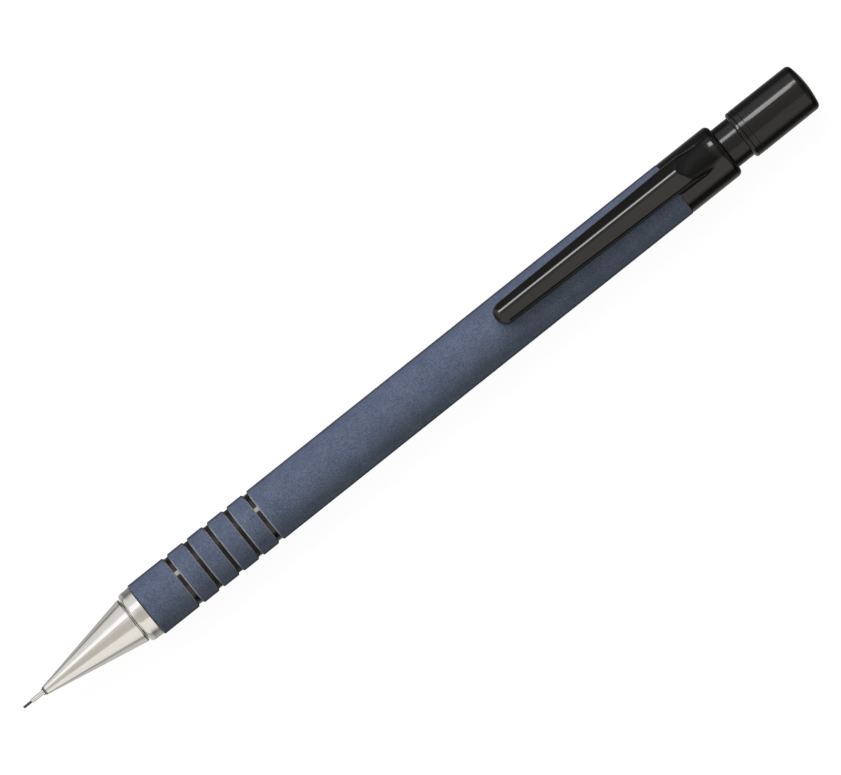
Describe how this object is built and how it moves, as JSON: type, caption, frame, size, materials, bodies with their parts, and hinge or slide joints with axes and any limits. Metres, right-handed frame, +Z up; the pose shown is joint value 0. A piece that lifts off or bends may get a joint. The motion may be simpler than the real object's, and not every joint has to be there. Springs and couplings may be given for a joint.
{
  "type": "mechanical pencil",
  "caption": "Slim push-button mechanical pencil with conical metal tip, grooved round barrel, spring clip and push cap over an eraser.",
  "frame": {"origin": "on the surface that the barrel lies on, under the middle of the pencil's length", "axes": "+X along the pencil from the writing tip to the push cap, +Z up with the clip on top"},
  "size_m": [0.14, 0.0086, 0.0113],
  "materials": {
    "soft_coat": "slate-blue soft-touch coat on black plastic, the five grooves bare and glossy",
    "black_plastic": "polished black plastic",
    "bright_chrome": "turned brass with bright chrome plate",
    "steel_tube": "drawn stainless steel tube",
    "spring_steel": "drawn spring wire",
    "brass": "turned brass",
    "retainer_rubber": "black rubber",
    "white_plastic": "natural moulded plastic",
    "tank_plastic": "cloudy extruded tube",
    "eraser_rubber": "white vinyl eraser",
    "graphite": "polymer graphite lead"
  },
  "bodies": {
    "barrel": {"barrel": "soft_coat", "clip_collar": "black_plastic", "front_bush": "bright_chrome", "spring_housing": "brass", "return_spring": "spring_steel"},
    "clip": {"clip_blade": "black_plastic"},
    "tip_carriage": {"lead_retainer": "retainer_rubber"},
    "tip": {"tip_cone": "bright_chrome", "lead_sleeve": "steel_tube"},
    "knock": {"chuck_shank": "brass", "chuck_connector": "white_plastic", "lead_tank": "tank_plastic", "eraser_holder": "black_plastic"},
    "clutch": {"clutch_ring": "brass"},
    "jaw_1": {"chuck_jaw_1": "brass"},
    "jaw_2": {"chuck_jaw_2": "brass"},
    "jaw_3": {"chuck_jaw_3": "brass"},
    "lead": {"lead": "graphite"},
    "spare_leads": {"spare_leads": "graphite"},
    "eraser": {"eraser": "eraser_rubber"},
    "cap": {"push_cap": "black_plastic"}
  },
  "joints": [
    {"name": "knock_press", "type": "slide", "parent": "barrel", "child": "knock", "axis": [-1, 0, 0], "range_m": [0, 0.0025], "stiffness_N_per_m": 1000, "springref_m": -0.003, "deforming": ["return_spring"]},
    {"name": "clutch_slide", "type": "slide", "parent": "barrel", "child": "clutch", "axis": [-1, 0, 0], "range_m": [0, 0.001]},
    {"name": "jaw_open_1", "type": "hinge", "parent": "knock", "child": "jaw_1", "pos_m": [-0.0486, 0, 0.00503], "axis": [0, 1, 0], "range_deg": [0, 1.5]},
    {"name": "jaw_open_2", "type": "hinge", "parent": "knock", "child": "jaw_2", "pos_m": [-0.0486, -0.00065, 0.00391], "axis": [0, -0.5, 0.866], "range_deg": [0, 1.5]},
    {"name": "jaw_open_3", "type": "hinge", "parent": "knock", "child": "jaw_3", "pos_m": [-0.0486, 0.00065, 0.00391], "axis": [0, -0.5, -0.866], "range_deg": [0, 1.5]},
    {"name": "lead_feed", "type": "slide", "parent": "clutch", "child": "lead", "axis": [-1, 0, 0], "range_m": [-0.0014, 0.004]},
    {"name": "spare_lead_slide", "type": "slide", "parent": "knock", "child": "spare_leads", "axis": [1, 0, 0], "range_m": [-0.0058, 0.0104]},
    {"name": "eraser_pull", "type": "slide", "parent": "knock", "child": "eraser", "axis": [1, 0, 0], "range_m": [0, 0.009]},
    {"name": "cap_pull", "type": "slide", "parent": "eraser", "child": "cap", "axis": [1, 0, 0], "range_m": [0, 0.011]},
    {"name": "clip_flex", "type": "hinge", "parent": "barrel", "child": "clip", "pos_m": [0.047, 0, 0.01128], "axis": [0, 1, 0], "range_deg": [0, 3.5], "stiffness_Nm_per_rad": 0.4, "springref_deg": -0.57},
    {"name": "tip_travel", "type": "slide", "parent": "barrel", "child": "tip_carriage", "axis": [-1, 0, 0], "range_m": [0, 0.002]},
    {"name": "tip_unscrew", "type": "hinge", "parent": "tip_carriage", "child": "tip", "pos_m": [-0.05, 0, 0.00428], "axis": [-1, 0, 0], "range_deg": [0, 1440]}
  ],
  "couplings": [
    {"joint": "clutch_slide", "follows": "knock_press", "ratio": 0.4},
    {"joint": "jaw_open_1", "follows": "knock_press", "rad_per_m": 10.472},
    {"joint": "jaw_open_2", "follows": "knock_press", "rad_per_m": 10.472},
    {"joint": "jaw_open_3", "follows": "knock_press", "rad_per_m": 10.472},
    {"joint": "tip_unscrew", "follows": "tip_travel", "rad_per_m": 12566}
  ]
}
